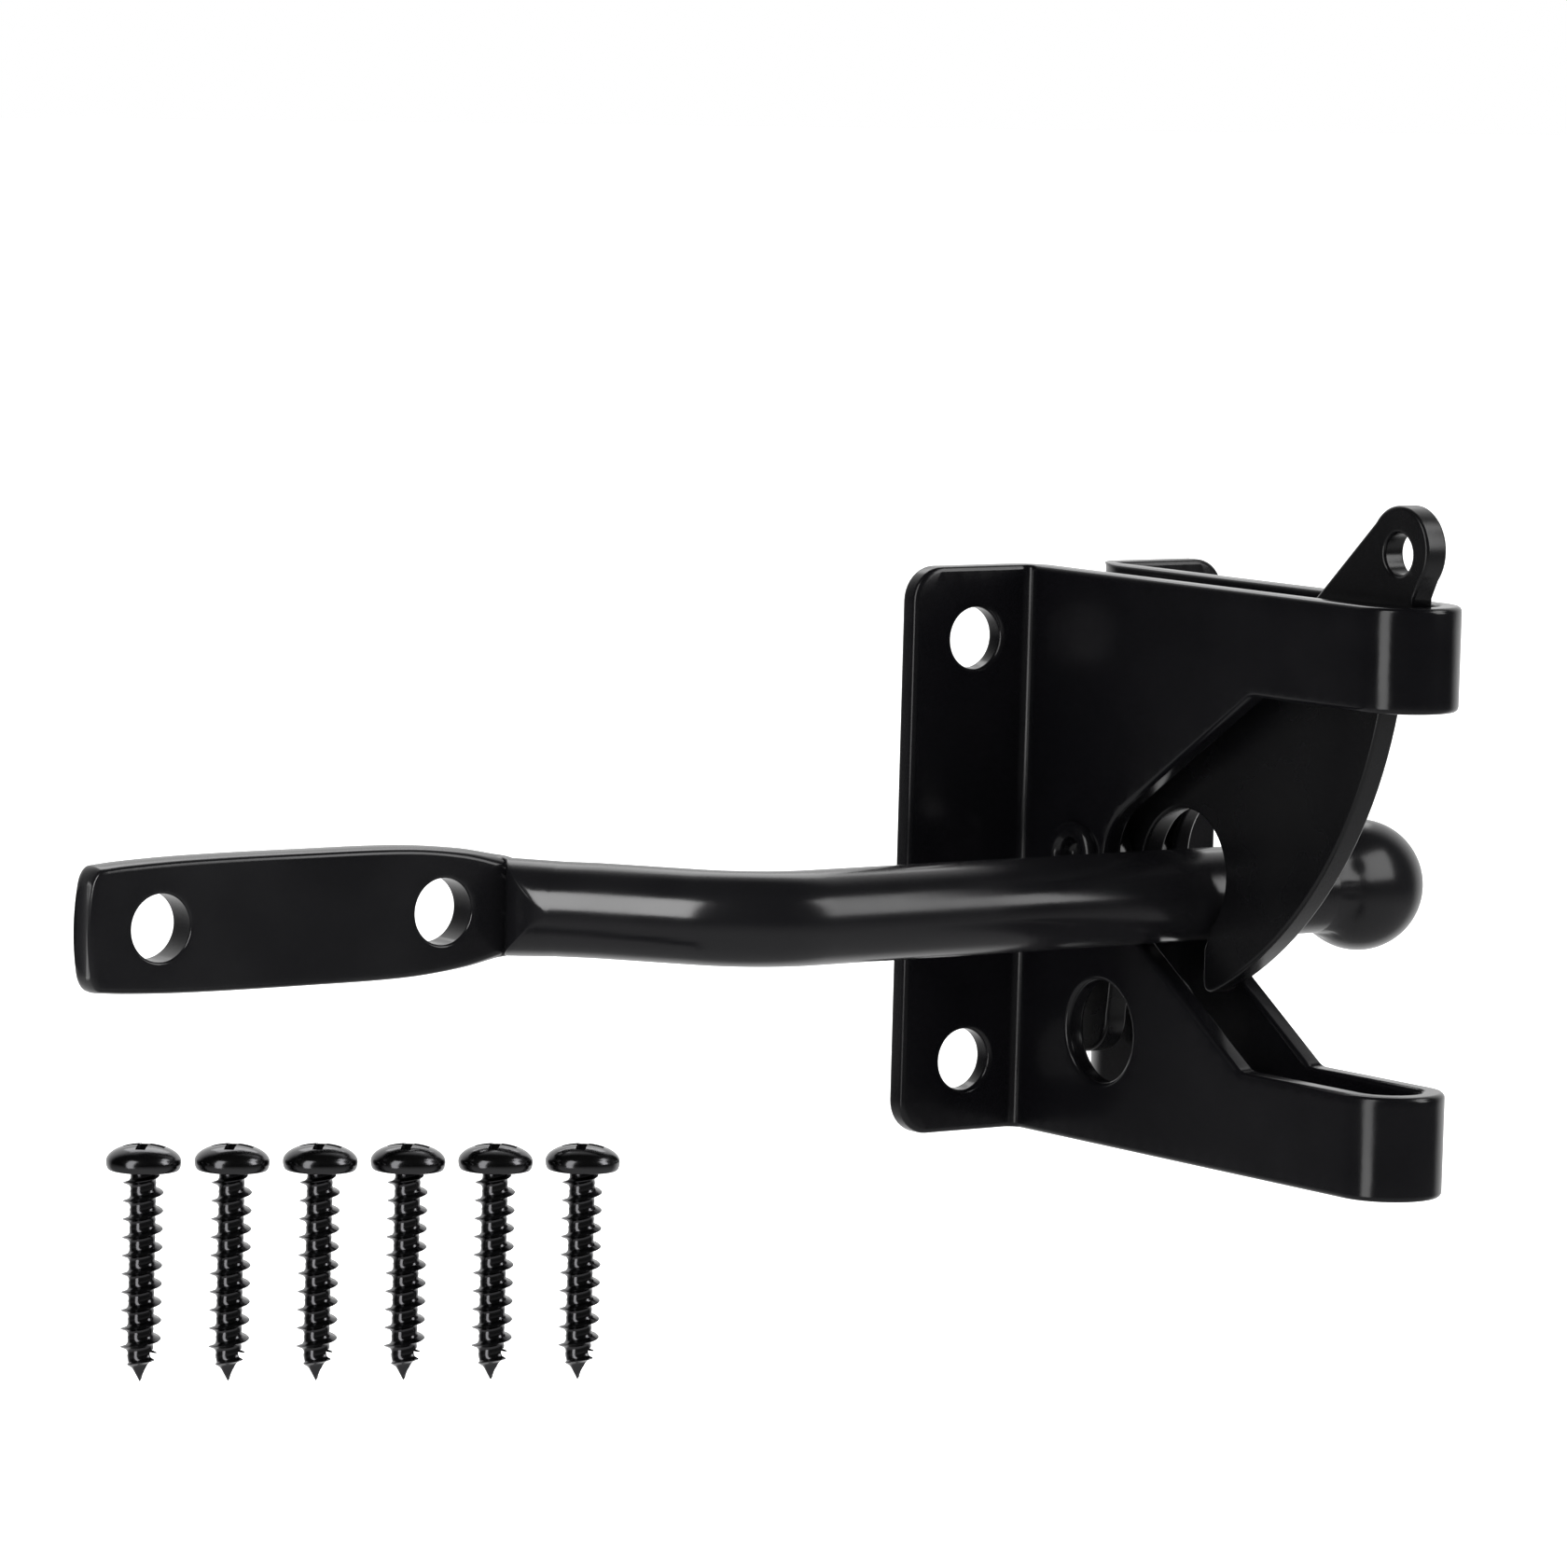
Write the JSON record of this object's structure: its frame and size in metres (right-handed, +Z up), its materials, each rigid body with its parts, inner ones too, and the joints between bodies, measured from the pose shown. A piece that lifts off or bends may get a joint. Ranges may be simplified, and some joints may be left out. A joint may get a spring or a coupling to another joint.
{
  "type": "gravity gate latch",
  "caption": "Post-mounted gravity gate latch: folded plate housing, pivoting cam pawl, striker bar with a flat end and a ball end, and loose pan-head screws.",
  "frame": {"origin": "centre of the four flange holes, on the flanges' back faces, which lie in the plane y = 0", "axes": "+Z up; +Y out of the back of the flanges into the post; -Y towards the housing's nose; X along the striker bar, flat end at -X, ball end at +X"},
  "size_m": [0.187, 0.0774, 0.1089],
  "materials": {
    "latch_body": "satin black coat",
    "pawl": "satin black coat",
    "pivot_rivet": "satin black coat",
    "spacer_near": "satin black coat",
    "spacer_far": "satin black coat",
    "striker_bar": "satin black coat",
    "striker_ball": "satin black coat",
    "latch_screws": "glossy black plating",
    "striker_screws": "glossy black plating"
  },
  "bodies": {
    "housing": {"latch_body": "latch_body", "pivot_rivet": "pivot_rivet", "spacer_near": "spacer_near", "spacer_far": "spacer_far", "latch_screws": "latch_screws", "striker_screws": "striker_screws"},
    "pawl": {"pawl": "pawl"},
    "striker": {"striker_bar": "striker_bar", "striker_ball": "striker_ball"}
  },
  "joints": [
    {"name": "pawl_lift", "type": "hinge", "parent": "housing", "child": "pawl", "pos_m": [0, -0.0144, 0], "axis": [-1, 0, 0], "range_deg": [0, 44]},
    {"name": "striker_slide", "type": "slide", "parent": "housing", "child": "striker", "axis": [1, 0, 0], "range_m": [-0.0128, 0.05]}
  ]
}
